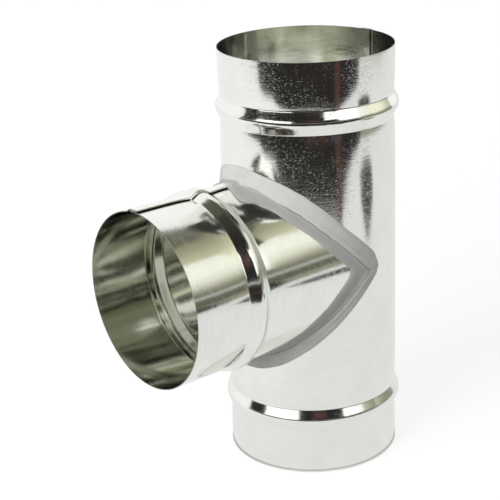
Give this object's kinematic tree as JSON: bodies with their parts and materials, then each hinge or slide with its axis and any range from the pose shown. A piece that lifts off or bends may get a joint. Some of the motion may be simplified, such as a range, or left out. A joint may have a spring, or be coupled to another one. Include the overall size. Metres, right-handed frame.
{
  "type": "duct tee",
  "caption": "Sheet-steel duct tee: a straight round run with an equal-diameter branch at a right angle, a rolled bead near each mouth and sealant over the joint; joins three round ducts.",
  "frame": {"origin": "centre of the run's lower rim", "axes": "+Z along the run's axis, from the lower rim to the upper one; +X along the branch's axis, out of its mouth"},
  "size_m": [0.171, 0.103, 0.241],
  "materials": {
    "galvanised_steel": "gloss",
    "sealant": "matte"
  },
  "bodies": {
    "root": {"run_pipe": "galvanised_steel", "branch_pipe": "galvanised_steel", "sealant_band": "sealant"}
  },
  "joints": []
}
